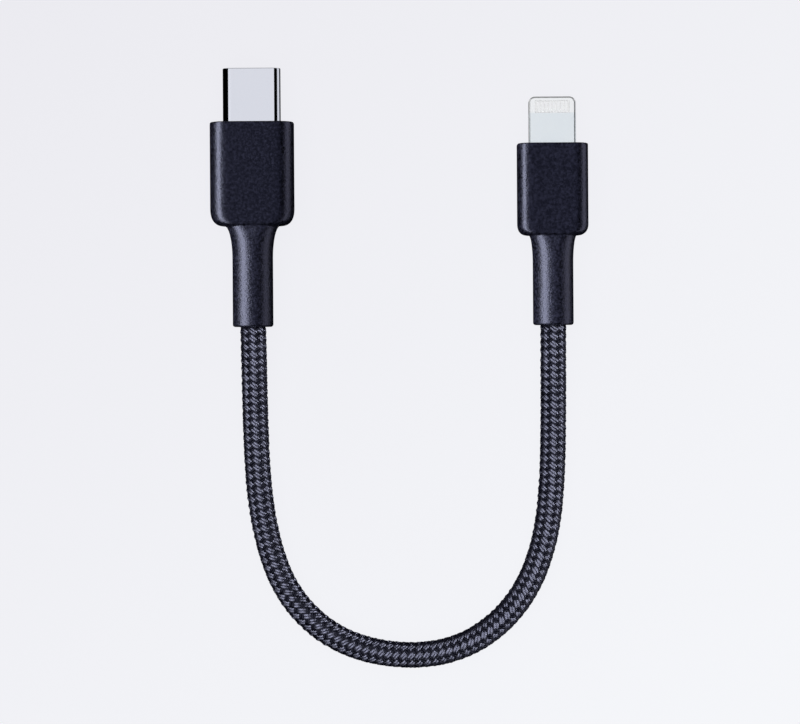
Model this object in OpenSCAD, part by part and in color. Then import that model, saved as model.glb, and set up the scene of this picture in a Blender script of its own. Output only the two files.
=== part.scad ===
// Short braided charging cable: a reversible type-C plug and a slim
// eight-contact tab plug on one cord, lying flat in a U.
// Origin: middle of the two plugs' outline on the supporting surface.
// +X from the type-C plug to the eight-contact plug, +Y out of both plugs'
// mouths, +Z up.

/* [Layout] */
// Distance between the two plugs' axes
plug_spacing = 42.9; // [42.7:0.1:43.1]
// Y of the line on which both strain reliefs end
neck_end_y = -18.45; // [-18.6:0.05:-18.3]

/* [Type-C plug] */
// Width of the metal mouth
type_c_mouth_w = 8.25; // [8.2:0.01:8.3]
// Height of the metal mouth
type_c_mouth_h = 2.4; // [2.36:0.01:2.42]
// Length of the mouth outside the housing
type_c_mouth_out = 7.7; // [6.6:0.1:8]
// Wall of the drawn steel mouth
type_c_mouth_wall = 0.2; // [0.15:0.01:0.22]
// Width of the housing
type_c_housing_w = 12; // [11.8:0.1:12.4]
// Height of the housing
type_c_housing_h = 6.2; // [6.2:0.1:6.4]
// Length of the housing
type_c_housing_len = 14.8; // [14.8:0.1:15]
// Edge radius of the housing's section
type_c_housing_r = 2.6; // [2.4:0.1:2.7]
// Length of the strain relief behind the housing
type_c_neck_len = 14.4; // [13:0.1:16]

/* [Eight-contact plug] */
// Width of the metal tab
tab_w = 6.7; // [6.65:0.01:6.75]
// Thickness of the metal tab
tab_t = 1.5; // [1.45:0.01:1.55]
// Length of the tab outside the housing
tab_out = 6.7; // [6.5:0.1:7]
// Pitch of the tab's contacts
tab_pitch = 0.56; // [0.54:0.01:0.58]
// Width of the housing
eight_pin_housing_w = 10.1; // [10:0.1:10.4]
// Height of the housing
eight_pin_housing_h = 6; // [6:0.1:6.2]
// Length of the housing
eight_pin_housing_len = 13.1; // [13.1:0.1:13.3]
// Edge radius of the housing's section
eight_pin_housing_r = 2; // [1.8:0.1:2.2]
// Length of the strain relief behind the housing
eight_pin_neck_len = 12.8; // [12:0.1:14]

/* [Strain reliefs] */
// Diameter of both necks
neck_d = 5.8; // [5.6:0.1:6]

/* [Cord] */
// Outside diameter of the braided sleeve
cord_d = 3.7; // [3.6:0.05:3.7]
// Wall of the braided sleeve
sleeve_wall = 0.3; // [0.25:0.01:0.3]

/* [Hidden] */
$fn = 48;
eps = 0.01;          // overshoot of a cut past a face
gap = 0.02;          // clearance between pieces that are assembled, not moulded

// Plug places: the outline of the two plugs is centred on the origin
axis_shift = (type_c_housing_w - eight_pin_housing_w) / 4;
type_c_x = -plug_spacing / 2 + axis_shift;
eight_pin_x = plug_spacing / 2 + axis_shift;
type_c_front_y = neck_end_y + type_c_neck_len + type_c_housing_len;
eight_pin_front_y = neck_end_y + eight_pin_neck_len + eight_pin_housing_len;
type_c_z = type_c_housing_h / 2;
eight_pin_z = eight_pin_housing_h / 2;

// Housings: corner shapes of the outlines
front_r = 0.25;                 // front edge of both housings
shoulder_power = 2.5;           // superellipse of the shoulders
type_c_shoulder = [2, 2.6];     // across and along, top view
type_c_roll = [0.45, 0.9];      // up and along, side view
eight_pin_shoulder = [1.6, 1.75];
eight_pin_roll = [0.4, 0.8];
type_c_flare_len = 4.6;
eight_pin_flare_len = 4;

// Stack inside each plug, along Y from the housing's front face
mould_front = 0.5;              // face of the inner mould
can_front = 1;                  // face of the screening can
can_wall = 0.2;
type_c_can = [8.8, 3.4, 11.4];  // width, height, length
eight_pin_can = [7.2, 3.2, 9.6];
type_c_mould = [10.2, 4.6];
eight_pin_mould = [8.3, 4.4];
mould_r = 1.4;
mould_rear = 0.2;               // mould behind the can
board_t = 0.6;
type_c_board = [7.6, 6];        // width, length
type_c_board_from = 3.6;
eight_pin_board = [6.2, 5.1];
eight_pin_board_from = 3;

// Type-C contact system
contact_pitch = 0.5;
tongue_slot = [7, 1.1];         // slot for the socket's tongue
tongue_slot_depth = 5.8;
beam_w = 0.26;
beam_t = 0.15;
beam_z = 0.56;                  // underside of a contact above the middle plane
nose_z = 0.34;
upper_positions = [0, 3, 4, 5, 6, 8, 11];
lower_positions = [0, 3, 4, 8, 11];
latch_t = 0.15;
spring_z = 0.84;
spring_t = 0.13;

// Eight-contact tab
tab_corner_r = 0.9;
tab_in = 3;                     // tab inside the housing
tab_edge_r = 0.3;
window = [4.9, 1.7];            // opening for the contacts, across and along
channel_h = 0.9;                // hollow behind the windows
window_from_tip = 0.6;
pad = [0.38, 1.5, 0.12];
lead_w = 0.24;
lead_z = 0.32;                  // underside of a lead above the middle plane
detent_y = 3.2;                 // side notches, behind the tip

// Cord: radii of the nested tubes, measured to the corners of the octagons
cord_sides = 8;
sleeve_r = cord_d / 2;
sleeve_bore_r = sleeve_r - sleeve_wall;
jacket_r = sleeve_bore_r - gap;
jacket_bore_r = 1.23;
braid_r = 1.2;
braid_bore_r = 1.12;

// Crimp rings and the strain reliefs' fixing in the housings
ring_wall = 0.28;
ring_bore_r = sleeve_r + gap;
ring_len = 2.9;
ring_depth = 0.3;               // ring behind the housing's rear face
rear_wall = 1.4;                // rear wall of both housings
stem_r = ring_bore_r + 0.38;
flange_len = 0.8;
neck_step = 0.03;               // step between the flare and the neck

// Route of the cord's centre between the two necks
route = [
    [-20.9, -22, 3], [-20.85, -26, 2.6], [-20.8, -30.2, 2.15], [-20.7, -34.6, 1.9],
    [-20.5, -39, 1.85], [-20.1, -43.4, 1.85], [-19.4, -47.6, 1.85], [-18.3, -51.8, 1.85],
    [-16.7, -55.6, 1.85], [-14.4, -58.9, 1.85], [-11.4, -61.7, 1.85], [-7.8, -63.8, 1.85],
    [-3.6, -65.1, 1.85], [0.8, -65.6, 1.85], [5.2, -65.3, 1.85], [9.4, -64, 1.85],
    [13.1, -61.7, 1.85], [16.1, -58.7, 1.85], [18.4, -55.1, 1.85], [20, -51, 1.85],
    [21, -46.7, 1.85], [21.5, -42.3, 1.85], [21.75, -37.9, 1.85], [21.85, -33.5, 1.9],
    [21.9, -29.2, 2.15], [21.9, -25.2, 2.55], [21.9, -21.6, 2.9]
];

// Where each layer of the cord ends inside the plugs, behind the front face
function type_c_end(depth) = [type_c_x, type_c_front_y - depth, type_c_z];
function eight_pin_end(depth) = [eight_pin_x, eight_pin_front_y - depth, eight_pin_z];
type_c_can_back = can_front + type_c_can[2];
eight_pin_can_back = can_front + eight_pin_can[2];
type_c_sleeve_end = type_c_can_back + mould_rear;
eight_pin_sleeve_end = eight_pin_can_back + mould_rear;

// Wires: radius, place in the bundle, then place across each board and its face, 1 or -1
power = [0.44, [0.46, 0], [-2.9, 1], [2.3, 1]];
ground = [0.44, [-0.46, 0], [2.9, 1], [-2.3, 1]];
data_plus = [0.28, [0, 0.7], [1.2, 1], [-0.9, 1]];
data_minus = [0.28, [0, -0.7], [1.2, -1], [-0.9, -1]];
control = [0.15, [0.62, -0.58], [-1.4, -1], [1.1, -1]];
yarn = [0.15, [-0.62, -0.58]];
wire_joint_len = 0.9;
joint_h = 0.5;

// ---------------------------------------------------------------- shared shapes

module at_type_c() translate([type_c_x, type_c_front_y, type_c_z]) children();
module at_eight_pin() translate([eight_pin_x, eight_pin_front_y, eight_pin_z]) children();

// Rounded rectangle, centred
module rounded_rect(w, h, r) {
    square([w, h - 2 * r], center = true);
    square([w - 2 * r, h], center = true);
    for (x = [-1, 1], z = [-1, 1])
        translate([x * (w / 2 - r), z * (h / 2 - r)]) circle(r);
}

// A flat profile in X and Z, carried backwards from depth y0 to depth y1
module bar(y0, y1) translate([0, -y0, 0]) rotate([90, 0, 0]) linear_extrude(y1 - y0) children();

// A box from depth y0 to depth y1, centred across, between two heights
module block(w, y0, y1, z0, z1) translate([-w / 2, -y1, z0]) cube([w, y1 - y0, z1 - z0]);

// A round rod or bore from depth y0 to depth y1
module rod(r, y0, y1) translate([0, -y0, 0]) rotate([90, 0, 0]) cylinder(r = r, h = y1 - y0);

// Outline of a housing: rounded front corners, straight sides and superellipse
// shoulders that run into the flat rear face
function half_outline(half_w, len, shoulder) = concat(
    [for (a = [90:-30:0]) [half_w - front_r * (1 - cos(a)), -front_r * (1 - sin(a))]],
    [for (a = [0:15:90])
        [half_w - shoulder[0] + shoulder[0] * pow(cos(a), 2 / shoulder_power),
         -len + shoulder[1] - shoulder[1] * pow(sin(a), 2 / shoulder_power)]]);
function mirrored(points) = [for (i = [len(points) - 1:-1:0]) [-points[i][0], points[i][1]]];
module housing_outline(w, len, shoulder) {
    half = half_outline(w / 2, len, shoulder);
    polygon(concat(half, mirrored(half)));
}

// Outer moulding: rounded section, cut to both outlines
module housing_blank(w, h, len, r, shoulder, roll) intersection() {
    bar(0, len) rounded_rect(w, h, r);
    translate([0, 0, -h]) linear_extrude(2 * h) housing_outline(w, len, shoulder);
    rotate([0, 90, 0]) translate([0, 0, -w]) linear_extrude(2 * w) housing_outline(h, len, roll);
}

module housing(w, h, len, r, shoulder, roll, cavity) difference() {
    housing_blank(w, h, len, r, shoulder, roll);
    bar(mould_front, len - rear_wall) rounded_rect(cavity[0], cavity[1], mould_r);
    rod(stem_r + gap, len - rear_wall - eps, len + eps);
    children();
}

// Cross-section ring of the flare: an ellipse
function ellipse_ring(half_w, half_h, y, n = 24) =
    [for (i = [0:n - 1]) [half_w * cos(360 * i / n), y, -half_h * sin(360 * i / n)]];
// Half size along the flare: a quarter of an ellipse that is tangent to the neck
function flare_size(start, end, t) = end + (start - end) * (1 - sqrt(1 - pow(1 - t, 2)));
flare_steps = 6;
module flare(start, neck_r, len, length) {
    rings = [for (i = [0:flare_steps]) let (t = 1 - cos(90 * i / flare_steps))
        ellipse_ring(flare_size(start[0], neck_r, t),
                     neck_r - (neck_r - start[1]) * pow(1 - t, 2), -len - t * length)];
    skin(rings);
}

// Closed solid through rings of equal point counts
module skin(rings) {
    n = len(rings[0]);
    last = len(rings) - 1;
    points = [for (ring = rings) each ring];
    sides = [for (i = [0:last - 1], j = [0:n - 1])
        let (a = i * n + j, b = i * n + (j + 1) % n) each [[a, b, b + n], [a, b + n, a + n]]];
    polyhedron(points, concat([[for (j = [n - 1:-1:0]) j]], sides, [[for (j = [0:n - 1]) last * n + j]]));
}

// Strain relief: flare, neck, and a stem and flange that lock it in the housing
module strain_relief(len, neck_len, flare_start, flare_len, mould) difference() {
    union() {
        flare(flare_start, neck_d / 2 - neck_step, len, flare_len);
        rod(neck_d / 2, len + flare_len, len + neck_len);
        rod(stem_r, len - rear_wall, len);
        bar(len - rear_wall - flange_len, len - rear_wall)
            rounded_rect(mould[0] - 1.6, mould[1] - 2 * gap, 0.8);
    }
    rod(ring_bore_r, len - rear_wall - flange_len - eps, len + neck_len + eps);
    rod(ring_bore_r + ring_wall + gap, len + ring_depth, len + ring_depth + ring_len);
}

// Ring that clamps the sleeve inside the strain relief
module crimp_ring(len) difference() {
    rod(ring_bore_r + ring_wall, len + ring_depth + gap, len + ring_depth + ring_len - gap);
    rod(ring_bore_r, len, len + ring_depth + ring_len + 1);
}

// Inner mould: fills the space between the screening can and the housing
module inner_mould(size, can) difference() {
    bar(mould_front, can_front + can[2] + mould_rear) rounded_rect(size[0] - gap, size[1] - gap, mould_r);
    block(can[0], can_front, can_front + can[2], -can[1] / 2, can[1] / 2);
    rod(braid_r + gap, can_front, can_front + can[2] + 1);
    children();
}

// One half of a folded screening can; top is 1 or -1
module can_half(can, top) difference() {
    translate([0, 0, top * can[1] / 4])
        block(can[0], can_front, can_front + can[2], -can[1] / 4, can[1] / 4);
    block(can[0] - 2 * can_wall, can_front + can_wall, can_front + can[2] - can_wall,
          -can[1] / 2 + can_wall, can[1] / 2 - can_wall);
    rod(braid_bore_r + 0.05, can_front + 1, can_front + can[2] + 1);
    children();
}

module board(size, from) block(size[0], from, from + size[1], -board_t / 2, board_t / 2);

// Soldered wire ends on a board; column 2 is the type-C board, 3 the tab's
module wire_joints(wires, column, board_end) for (wire = wires)
    translate([wire[column][0], 0, wire[column][1] * (board_t + joint_h) / 2])
        block(1.3 * wire[0], board_end - wire_joint_len, board_end - gap, -joint_h / 2, joint_h / 2);

// ---------------------------------------------------------------- type-C plug

module mouth_section(extra) rounded_rect(type_c_mouth_w + 2 * extra, type_c_mouth_h + 2 * extra,
                                         type_c_mouth_h / 2 + extra - 0.001);

// Deep-drawn stainless mouth
module type_c_shell() color("lightgray") at_type_c() difference() {
    bar(-type_c_mouth_out, 3) mouth_section(0);
    bar(-type_c_mouth_out - 1, 4) mouth_section(-type_c_mouth_wall);
}

function position_x(i) = (i - 5.5) * contact_pitch;

// Side profile of one contact: a sprung beam with a bent nose, stepped down to the board.
// Points are distance behind the front face, and height.
module beam_profile() {
    underside = [[-6.9, beam_z], [-6.3, nose_z], [-5.9, nose_z], [-5.3, beam_z],
                 [4.1, beam_z], [4.3, board_t / 2], [5.6, board_t / 2]];
    top = [for (i = [len(underside) - 1:-1:0]) underside[i] + [0, beam_t]];
    polygon(concat(underside, top));
}
module contact_row(positions, width) for (i = positions)
    translate([position_x(i) - width / 2, 0, 0]) rotate([90, 0, 90])
        linear_extrude(width) mirror([1, 0]) beam_profile();
module contact_slots(top) for (i = [0:11])
    translate([position_x(i), 0, 0])
        block(beam_w + 2 * gap, -7.1, 4.3, top > 0 ? 0.5 : -beam_z - beam_t - gap,
              top > 0 ? beam_z + beam_t + gap : -0.5);

module type_c_insulator() color("#202024") at_type_c() difference() {
    bar(-type_c_mouth_out + 0.3, 4) mouth_section(-type_c_mouth_wall - gap);
    block(tongue_slot[0], -type_c_mouth_out, tongue_slot_depth - type_c_mouth_out,
          -tongue_slot[1] / 2, tongue_slot[1] / 2);
    contact_slots(1);
    contact_slots(-1);
    latch_arms(gap);
    latch_base(gap);
    spring_plates(gap);
}

module type_c_upper_contacts() color("gold") at_type_c() contact_row(upper_positions, beam_w);
module type_c_lower_contacts() color("gold") at_type_c() rotate([0, 180, 0])
    contact_row(lower_positions, beam_w);

// Mid plate with two side latches
module latch_base(extra) block(6.4, -0.6, 3.4, -latch_t / 2 - extra, latch_t / 2 + extra);
module latch_arms(extra) for (side = [-1, 1]) translate([side * 3.62, 0, 0]) {
    block(0.22 + 2 * extra, -6.2, -0.6, -0.3 - extra, 0.3 + extra);
    translate([-side * 0.45, 0, 0])
        block(1, -1.2, -0.6, -latch_t / 2 - extra, latch_t / 2 + extra);
    translate([-side * 0.2, 0, 0]) block(0.24, -6.1, -5.3, -0.25, 0.25);
}
module type_c_latch_plate() color("silver") at_type_c() {
    latch_base(0);
    latch_arms(0);
}

// Grounding springs between the insulator and the mouth, one above and one below
module spring_plates(extra) for (top = [0, 180]) rotate([0, top, 0]) {
    block(5.6 + 2 * extra, -4.6 - extra, -1.2 + extra, spring_z - extra, spring_z + spring_t + extra);
    for (x = [-2.4, -0.8, 0.8, 2.4]) translate([x, 0, 0])
        block(0.7 + 2 * extra, -5.6 - extra, -4.6, spring_z - extra, spring_z + spring_t + extra);
}
module type_c_ground_springs() color("silver") at_type_c() spring_plates(0);

module type_c_circuit_board() color("darkgreen") at_type_c() difference() {
    board(type_c_board, type_c_board_from + 0.45);
    for (x = [-1, 1]) translate([x * 3.8, 0, 0]) block(0.8, 7, 7.8, -1, 1);
}

// Resistor, capacitors and a small protection chip on the board's top
module type_c_board_parts() color("#303030") at_type_c() {
    for (x = [-2.6, 0, 2.6]) translate([x, 0, 0]) block(0.5, 6.4, 7.4, board_t / 2, board_t / 2 + 0.35);
    translate([-1.3, 0, 0]) block(1.2, 6.3, 7.6, board_t / 2, board_t / 2 + 0.55);
    translate([1.4, 0, 0]) block(0.9, 6.3, 7.9, board_t / 2, board_t / 2 + 0.45);
}

type_c_board_end = type_c_board_from + 0.45 + type_c_board[1];
module type_c_wire_joints() color("silver") at_type_c()
    wire_joints([power, ground, data_plus, data_minus, control], 2, type_c_board_end);

module type_c_can(top) can_half(type_c_can, top) bar(0, 3) mouth_section(gap);
module type_c_upper_can() color("silver") at_type_c() type_c_can(1);
module type_c_lower_can() color("silver") at_type_c() type_c_can(-1);

module type_c_inner_mould() color("ivory") at_type_c()
    inner_mould(type_c_mould, type_c_can) bar(0, 3) mouth_section(gap);

module type_c_crimp_ring() color("silver") at_type_c() crimp_ring(type_c_housing_len);

module type_c_housing() color("#22222a") at_type_c()
    housing(type_c_housing_w, type_c_housing_h, type_c_housing_len, type_c_housing_r,
            type_c_shoulder, type_c_roll, type_c_mould)
        bar(-1, 1) mouth_section(gap);

module type_c_strain_relief() color("#26262e") at_type_c()
    strain_relief(type_c_housing_len, type_c_neck_len,
                  [type_c_housing_w, type_c_housing_h] / 2 - [type_c_shoulder[0], type_c_roll[0]],
                  type_c_flare_len, type_c_mould);

// ---------------------------------------------------------------- eight-contact plug

module tab_outline() difference() {
    translate([-tab_w / 2, -tab_in]) square([tab_w, tab_out + tab_in]);
    for (x = [-1, 1]) translate([x * tab_w / 2, tab_out]) difference() {
        square(2 * tab_corner_r, center = true);
        translate([-x * tab_corner_r, -tab_corner_r]) circle(tab_corner_r);
    }
}
window_front = tab_out - window_from_tip;
window_back = window_front - window[1];

module tab_section(extra) rounded_rect(tab_w + 2 * extra, tab_t + 2 * extra, tab_edge_r);

// Metal tab: a rounded frame round the contact windows, hollow behind them
module eight_pin_tab() color("gainsboro") at_eight_pin() difference() {
    intersection() {
        translate([0, 0, -tab_t / 2]) linear_extrude(tab_t) tab_outline();
        bar(-tab_out - 1, 4) tab_section(0);
    }
    block(window[0], -window_front, -window_back, -tab_t, tab_t);
    block(window[0], -window_back - eps, 4, -channel_h / 2, channel_h / 2);
    for (x = [-1, 1]) translate([x * (tab_w / 2 + 0.45), tab_out - detent_y, 0])
        cylinder(r = 0.8, h = 0.7, center = true);
}

function tab_contact_x(i) = (i - 3.5) * tab_pitch;
// One contact: a pad in the window and a lead back to the board
module tab_contact() {
    block(pad[0], -window_front + 0.1, -window_front + 0.1 + pad[1], tab_t / 2 - pad[2], tab_t / 2);
    block(lead_w, -window_back - 0.4, -window_back - 0.1, lead_z, tab_t / 2 - pad[2] + eps);
    block(lead_w, -window_back - 0.4, 4.4, lead_z, lead_z + pad[2]);
}
module tab_contacts() for (i = [0:7]) translate([tab_contact_x(i), 0, 0]) tab_contact();
module eight_pin_upper_contacts() color("gold") at_eight_pin() tab_contacts();
module eight_pin_lower_contacts() color("gold") at_eight_pin() rotate([0, 180, 0]) tab_contacts();

// Insulating carrier that fills the windows and the channel round the leads
module eight_pin_carrier() color("#d8d8d8") at_eight_pin() difference() {
    union() {
        block(window[0] - gap, -window_front + gap, -window_back - gap, -tab_t / 2 + 0.03, tab_t / 2 - 0.03);
        block(window[0] - gap, -window_back - 2 * gap, 2.9, -channel_h / 2 + gap, channel_h / 2 - gap);
    }
    for (top = [0, 180], i = [0:7]) rotate([0, top, 0]) translate([tab_contact_x(i), 0, 0]) {
        block(pad[0], -window_front + 0.1, -window_front + 0.1 + pad[1], tab_t / 2 - pad[2], tab_t);
        block(lead_w, -window_back - 0.4, 3, lead_z, lead_z + pad[2]);
        block(lead_w, -window_back - 0.4, -window_back - 0.1, lead_z, tab_t / 2);
    }
}

module eight_pin_circuit_board() color("darkgreen") at_eight_pin()
    board(eight_pin_board, eight_pin_board_from + 0.1);

// Authentication and power controller under the board
module eight_pin_controller_chip() color("#1c1c1c") at_eight_pin()
    block(2.6, 4.8, 7, -board_t / 2 - 0.6, -board_t / 2);

module eight_pin_board_parts() color("#303030") at_eight_pin() {
    for (x = [-2.2, -1.1, 1.2, 2.2]) translate([x, 0, 0])
        block(0.5, 5, 6, board_t / 2, board_t / 2 + 0.35);
    translate([0.1, 0, 0]) block(1, 5, 6.4, board_t / 2, board_t / 2 + 0.45);
}

eight_pin_board_end = eight_pin_board_from + 0.1 + eight_pin_board[1];
module eight_pin_wire_joints() color("silver") at_eight_pin()
    wire_joints([power, ground, data_plus, data_minus, control], 3, eight_pin_board_end);

module eight_pin_can(top) can_half(eight_pin_can, top) bar(0, tab_in) tab_section(gap);
module eight_pin_upper_can() color("silver") at_eight_pin() eight_pin_can(1);
module eight_pin_lower_can() color("silver") at_eight_pin() eight_pin_can(-1);

module eight_pin_inner_mould() color("ivory") at_eight_pin()
    inner_mould(eight_pin_mould, eight_pin_can) bar(0, tab_in) tab_section(gap);

module eight_pin_crimp_ring() color("silver") at_eight_pin() crimp_ring(eight_pin_housing_len);

module eight_pin_housing() color("#22222a") at_eight_pin()
    housing(eight_pin_housing_w, eight_pin_housing_h, eight_pin_housing_len, eight_pin_housing_r,
            eight_pin_shoulder, eight_pin_roll, eight_pin_mould)
        bar(-1, 1) tab_section(gap);

module eight_pin_strain_relief() color("#26262e") at_eight_pin()
    strain_relief(eight_pin_housing_len, eight_pin_neck_len,
                  [eight_pin_housing_w, eight_pin_housing_h] / 2 - [eight_pin_shoulder[0], eight_pin_roll[0]],
                  eight_pin_flare_len, eight_pin_mould);

// ---------------------------------------------------------------- cord

// Frame of the section at each point of a path: outer side of the U, and up
function unit(v) = v / norm(v);
function tangent(path, i) = unit(path[min(i + 1, len(path) - 1)] - path[max(i - 1, 0)]);
function side(t) = unit(cross(t, [0, 0, 1]));
function up(t) = cross(side(t), t);
// Ring of a tube of radius r whose centre is moved by offset [side, up]
function ring_points(path, i, r, offset) = let (t = tangent(path, i), s = side(t), u = up(t))
    [for (k = [0:cord_sides - 1]) let (a = 360 * k / cord_sides)
        path[i] + (offset[0] + r * cos(a)) * s + (offset[1] + r * sin(a)) * u];

function layer_path(type_c_depth, eight_pin_depth) = concat(
    [type_c_end(type_c_depth), type_c_end(type_c_housing_len + type_c_neck_len)],
    route,
    [eight_pin_end(eight_pin_housing_len + eight_pin_neck_len), eight_pin_end(eight_pin_depth)]);

// Hollow layer of the cord
module layer(path, r, bore_r) {
    n = cord_sides;
    last = len(path) - 1;
    outer = [for (i = [0:last]) each ring_points(path, i, r, [0, 0])];
    inner = [for (i = [0:last]) each ring_points(path, i, bore_r, [0, 0])];
    shift = len(outer);
    walls = [for (i = [0:last - 1], j = [0:n - 1])
        let (a = i * n + j, b = i * n + (j + 1) % n)
        each [[a, b, b + n], [a, b + n, a + n],
              [a + shift, b + shift + n, b + shift], [a + shift, a + shift + n, b + shift + n]]];
    ends = [for (j = [0:n - 1]) let (k = (j + 1) % n, e = last * n)
        each [[j, j + shift, k + shift], [j, k + shift, k],
              [e + j, e + k + shift, e + j + shift], [e + j, e + k, e + k + shift]]];
    polyhedron(concat(outer, inner), concat(walls, ends));
}

module braided_sleeve() color("#2a2a32")
    layer(layer_path(type_c_sleeve_end, eight_pin_sleeve_end), sleeve_r, sleeve_bore_r);
module cord_jacket() color("black")
    layer(layer_path(type_c_sleeve_end, eight_pin_sleeve_end), jacket_r, jacket_bore_r);
module shield_braid() color("peru")
    layer(layer_path(type_c_can_back, eight_pin_can_back), braid_r, braid_bore_r);

// A wire leaves the bundle inside each can and fans out to its solder joint
fan = [0, 0.35, 1, 1];          // share of the way to the board, bundle to joint
function fan_depths(back, board_end) =
    [for (i = [0:3]) back - 0.3 + (board_end - back + 0.3) * i / 3];
function wire_height(wire, column) = wire[column][1] * (board_t / 2 + wire[0]);
function wire_stations(wire) = let (
    near = fan_depths(type_c_can_back, type_c_board_end),
    far = fan_depths(eight_pin_can_back, eight_pin_board_end),
    near_pad = [-wire[2][0], wire_height(wire, 2)],
    far_pad = [wire[3][0], wire_height(wire, 3)])
    concat([for (i = [3:-1:0]) [type_c_end(near[i]), wire[1] + (near_pad - wire[1]) * fan[i]]],
           [[type_c_end(type_c_housing_len + type_c_neck_len), wire[1]]],
           [for (p = route) [p, wire[1]]],
           [[eight_pin_end(eight_pin_housing_len + eight_pin_neck_len), wire[1]]],
           [for (i = [0:3]) [eight_pin_end(far[i]), wire[1] + (far_pad - wire[1]) * fan[i]]]);
module wire(spec) {
    stations = wire_stations(spec);
    path = [for (s = stations) s[0]];
    skin([for (i = [0:len(path) - 1]) ring_points(path, i, spec[0], stations[i][1])]);
}

module power_wire() color("red") wire(power);
module ground_wire() color("#111111") wire(ground);
module data_plus_wire() color("green") wire(data_plus);
module data_minus_wire() color("white") wire(data_minus);
module control_wire() color("gold") wire(control);
module strength_yarn() color("khaki") {
    path = layer_path(type_c_can_back - 0.3, eight_pin_can_back - 0.3);
    skin([for (i = [0:len(path) - 1]) ring_points(path, i, yarn[0], yarn[1])]);
}

type_c_shell();
type_c_insulator();
type_c_upper_contacts();
type_c_lower_contacts();
type_c_latch_plate();
type_c_ground_springs();
type_c_circuit_board();
type_c_board_parts();
type_c_wire_joints();
type_c_upper_can();
type_c_lower_can();
type_c_inner_mould();
type_c_crimp_ring();
type_c_housing();
type_c_strain_relief();
eight_pin_tab();
eight_pin_carrier();
eight_pin_upper_contacts();
eight_pin_lower_contacts();
eight_pin_circuit_board();
eight_pin_controller_chip();
eight_pin_board_parts();
eight_pin_wire_joints();
eight_pin_upper_can();
eight_pin_lower_can();
eight_pin_inner_mould();
eight_pin_crimp_ring();
eight_pin_housing();
eight_pin_strain_relief();
braided_sleeve();
cord_jacket();
shield_braid();
power_wire();
ground_wire();
data_plus_wire();
data_minus_wire();
control_wire();
strength_yarn();
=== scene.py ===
import math

import bmesh
import bpy
import numpy as np
from mathutils import Matrix, Vector


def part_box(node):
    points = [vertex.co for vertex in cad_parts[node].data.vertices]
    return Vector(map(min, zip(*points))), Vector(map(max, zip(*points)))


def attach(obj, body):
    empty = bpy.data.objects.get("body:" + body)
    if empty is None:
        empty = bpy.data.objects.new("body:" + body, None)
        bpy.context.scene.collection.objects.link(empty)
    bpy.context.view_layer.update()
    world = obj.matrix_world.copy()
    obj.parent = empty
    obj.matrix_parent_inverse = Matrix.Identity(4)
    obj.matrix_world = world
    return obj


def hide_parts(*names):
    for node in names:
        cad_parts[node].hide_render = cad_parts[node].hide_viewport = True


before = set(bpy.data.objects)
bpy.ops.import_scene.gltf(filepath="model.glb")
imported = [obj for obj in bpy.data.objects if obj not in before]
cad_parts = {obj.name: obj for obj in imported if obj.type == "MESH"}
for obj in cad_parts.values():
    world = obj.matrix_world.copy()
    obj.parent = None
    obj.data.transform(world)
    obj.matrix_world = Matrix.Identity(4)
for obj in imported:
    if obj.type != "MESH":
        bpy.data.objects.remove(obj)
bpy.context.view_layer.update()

# ---------------------------------------------------------------- Camera
# A long lens straight above the middle of the U, turned a hair off square.
mm = 0.001
scene = bpy.context.scene
scene.view_settings.view_transform = "Standard"
lens = 135
sensor = 36
seen_width = 114.3 * mm
camera_turn = math.radians(-0.37)
view_centre = Vector((-0.03, -23.6, 3.1)) * mm
camera = bpy.data.objects.new("camera", bpy.data.cameras.new("camera"))
camera.data.lens = lens
camera.data.sensor_width = sensor
camera.location = view_centre + Vector((0, 0, seen_width * lens / sensor))
camera.rotation_euler = (0, 0, camera_turn)
scene.collection.objects.link(camera)
scene.camera = camera

# ---------------------------------------------------------------- Cord
# The cord runs from one strain relief to the other and lies flat between them.
# Its route is the centre line that all the cord's layers follow.
route = np.array([
    [-20.9, -22, 3], [-20.85, -26, 2.6], [-20.8, -30.2, 2.15], [-20.7, -34.6, 1.9],
    [-20.5, -39, 1.85], [-20.1, -43.4, 1.85], [-19.4, -47.6, 1.85], [-18.3, -51.8, 1.85],
    [-16.7, -55.6, 1.85], [-14.4, -58.9, 1.85], [-11.4, -61.7, 1.85], [-7.8, -63.8, 1.85],
    [-3.6, -65.1, 1.85], [0.8, -65.6, 1.85], [5.2, -65.3, 1.85], [9.4, -64, 1.85],
    [13.1, -61.7, 1.85], [16.1, -58.7, 1.85], [18.4, -55.1, 1.85], [20, -51, 1.85],
    [21, -46.7, 1.85], [21.5, -42.3, 1.85], [21.75, -37.9, 1.85], [21.85, -33.5, 1.9],
    [21.9, -29.2, 2.15], [21.9, -25.2, 2.55], [21.9, -21.6, 2.9],
]) * mm
into_neck = np.array([0, 1.6 * mm, 0])
line_step = 0.1 * mm
smoothing = 1.4 * mm
points_between_knots = 40


def neck_end(node):
    """Middle of the open end of a strain relief."""
    low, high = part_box(node)
    return np.array([(low.x + high.x) / 2, low.y, (low.z + high.z) / 2])


def evenly_spaced(points, step):
    """Points one step apart along a polyline."""
    travel = np.append(0, np.cumsum(np.linalg.norm(np.diff(points, axis=0), axis=1)))
    stations = np.linspace(0, travel[-1], int(round(travel[-1] / step)) + 1)
    return np.column_stack([np.interp(stations, travel, points[:, axis]) for axis in range(3)])


def curve_through(points):
    """Close points on a Catmull-Rom curve through the given ones."""
    padded = np.vstack([2 * points[0] - points[1], points, 2 * points[-1] - points[-2]])
    t = np.linspace(0, 1, points_between_knots, endpoint=False)[:, None]
    pieces = []
    for a, b, c, d in zip(padded, padded[1:], padded[2:], padded[3:]):
        curve = 2 * b + (c - a) * t + (2 * a - 5 * b + 4 * c - d) * t**2 + (3 * b - a - 3 * c + d) * t**3
        pieces.append(curve / 2)
    return np.vstack(pieces + [points[-1:]])


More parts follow.
